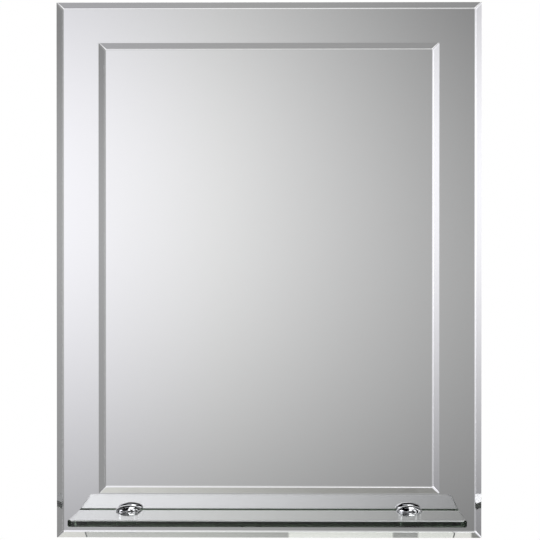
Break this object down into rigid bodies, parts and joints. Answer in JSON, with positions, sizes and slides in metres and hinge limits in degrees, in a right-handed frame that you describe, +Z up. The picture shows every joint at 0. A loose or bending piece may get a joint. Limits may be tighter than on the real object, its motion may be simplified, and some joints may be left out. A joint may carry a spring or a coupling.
{
  "type": "wall mirror with glass shelf",
  "caption": "Frameless bevelled wall mirror with a smaller bevelled mirror bonded on its face and a glass shelf held by round chrome clamps.",
  "frame": {"origin": "on the wall plane, midway between the entry holes of the two keyholes in the hanger plates", "axes": "front faces -Y, +X is to the right as seen from the front, +Z is up"},
  "size_m": [0.4, 0.1238, 0.504],
  "materials": {
    "clear_glass": "clear polished float glass with polished bevels",
    "silvering": "silver behind the glass, with grey protective paint on its back",
    "bond_foam": "white closed-cell adhesive foam tape",
    "shelf_glass": "clear float glass, polished faces, green through its edges",
    "chrome": "bright chrome plating on a zinc casting",
    "soft_pad": "black soft plastic",
    "steel": "zinc plated steel",
    "bush_plastic": "natural nylon",
    "zinc_plate": "bright zinc plated sheet steel"
  },
  "bodies": {
    "root": {"main_glass": "clear_glass", "main_backing": "silvering", "inner_glass": "clear_glass", "inner_backing": "silvering", "left_bond_strip": "bond_foam", "middle_bond_strip": "bond_foam", "right_bond_strip": "bond_foam", "shelf_glass": "shelf_glass", "left_clamp_body": "chrome", "left_clamp_cap": "chrome", "left_upper_pad": "soft_pad", "left_lower_pad": "soft_pad", "left_clamp_screw": "steel", "left_stud": "steel", "left_bush": "bush_plastic", "left_washer": "steel", "left_nut": "steel", "right_clamp_body": "chrome", "right_clamp_cap": "chrome", "right_upper_pad": "soft_pad", "right_lower_pad": "soft_pad", "right_clamp_screw": "steel", "right_stud": "steel", "right_bush": "bush_plastic", "right_washer": "steel", "right_nut": "steel", "left_hanger_plate": "zinc_plate", "left_hanger_pads": "bond_foam", "left_bumper": "soft_pad", "right_hanger_plate": "zinc_plate", "right_hanger_pads": "bond_foam", "right_bumper": "soft_pad"}
  },
  "joints": []
}
